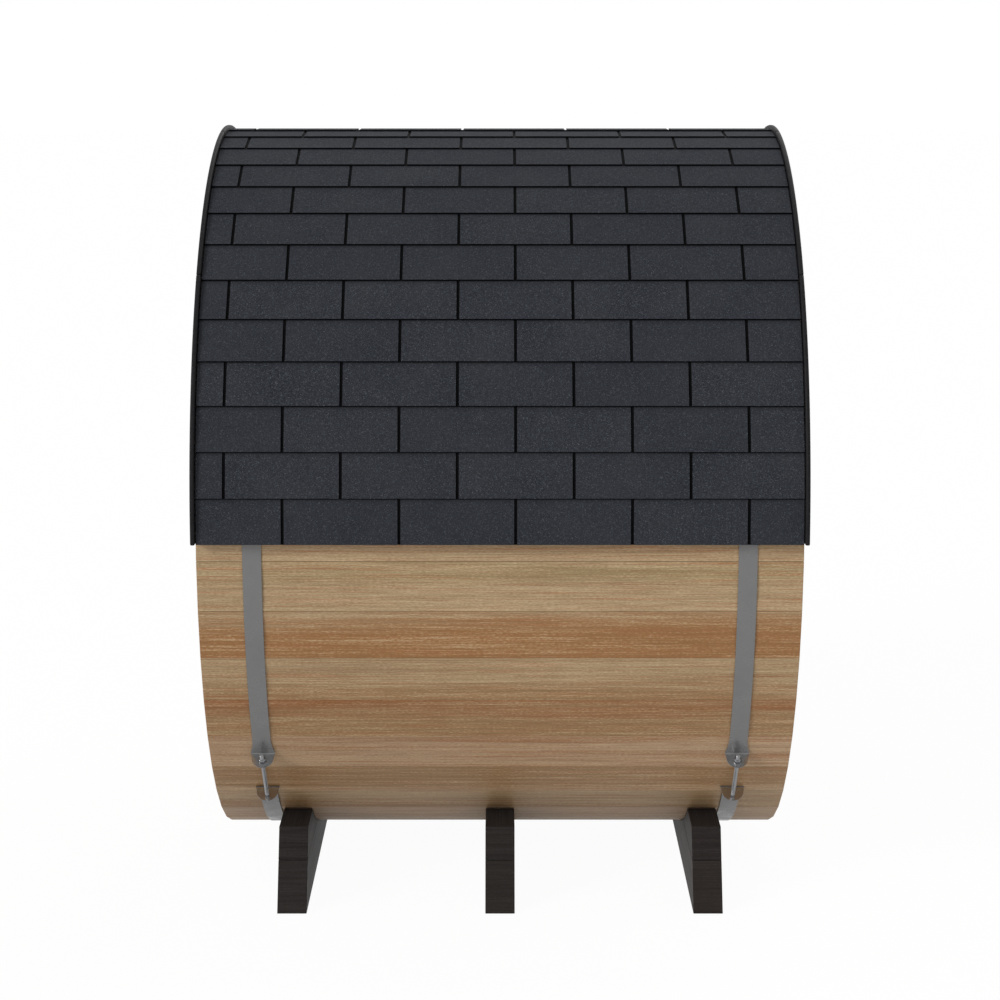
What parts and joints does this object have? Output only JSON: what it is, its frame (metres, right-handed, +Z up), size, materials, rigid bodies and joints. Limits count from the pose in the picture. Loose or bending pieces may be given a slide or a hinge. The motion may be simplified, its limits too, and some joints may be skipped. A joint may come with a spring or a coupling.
{
  "type": "barrel sauna",
  "caption": "Compact barrel sauna of mitred timber staves held by two tensioned steel bands, with a shingled half-round roof, a glazed end door and saddle cradles",
  "frame": {"origin": "on the ground under the middle of the barrel", "axes": "+X along the barrel towards the door end, +Y to the far side, +Z up"},
  "size_m": [1.6176, 2.1336, 2.1469],
  "materials": {
    "stave_wood": "oiled cedar with fine grain along the boards",
    "wall_wood": "planed cedar boards",
    "door_wood": "planed cedar, lightly oiled",
    "deck_wood": "sawn softwood boards",
    "cradle_wood": "dark-stained timber",
    "shingle": "mineral-granule bitumen shingle",
    "roof_trim": "black flexible edge moulding",
    "band_steel": "dull rolled steel",
    "bright_steel": "zinc-plated steel",
    "tinted_glass": "bronze-tinted safety glass"
  },
  "bodies": {
    "root": {"left_cradle_beam": "cradle_wood", "left_cradle_blocks": "cradle_wood", "middle_cradle_beam": "cradle_wood", "middle_cradle_blocks": "cradle_wood", "right_cradle_beam": "cradle_wood", "right_cradle_blocks": "cradle_wood", "near_low_staves": "stave_wood", "bottom_staves": "stave_wood", "far_low_staves": "stave_wood", "far_high_staves": "stave_wood", "top_staves": "stave_wood", "near_high_staves": "stave_wood", "back_wall": "wall_wood", "door_wall_near": "wall_wood", "door_wall_far": "wall_wood", "door_wall_head": "wall_wood", "door_wall_foot": "wall_wood", "door_frame": "door_wood", "door_leaf": "door_wood", "door_glass": "tinted_glass", "door_hinges": "bright_steel", "door_pull_bar": "door_wood", "door_pull_posts": "door_wood", "floor_bearers": "wall_wood", "floor_slats": "wall_wood", "near_roof_boards": "deck_wood", "far_roof_boards": "deck_wood", "ridge_board": "deck_wood", "near_shingles": "shingle", "far_shingles": "shingle", "ridge_cap": "shingle", "left_roof_trim": "roof_trim", "right_roof_trim": "roof_trim", "left_upper_strap": "band_steel", "left_lower_strap": "band_steel", "right_upper_strap": "band_steel", "right_lower_strap": "band_steel", "tension_rods": "bright_steel", "tension_nuts": "bright_steel", "tension_washers": "bright_steel"}
  },
  "joints": []
}
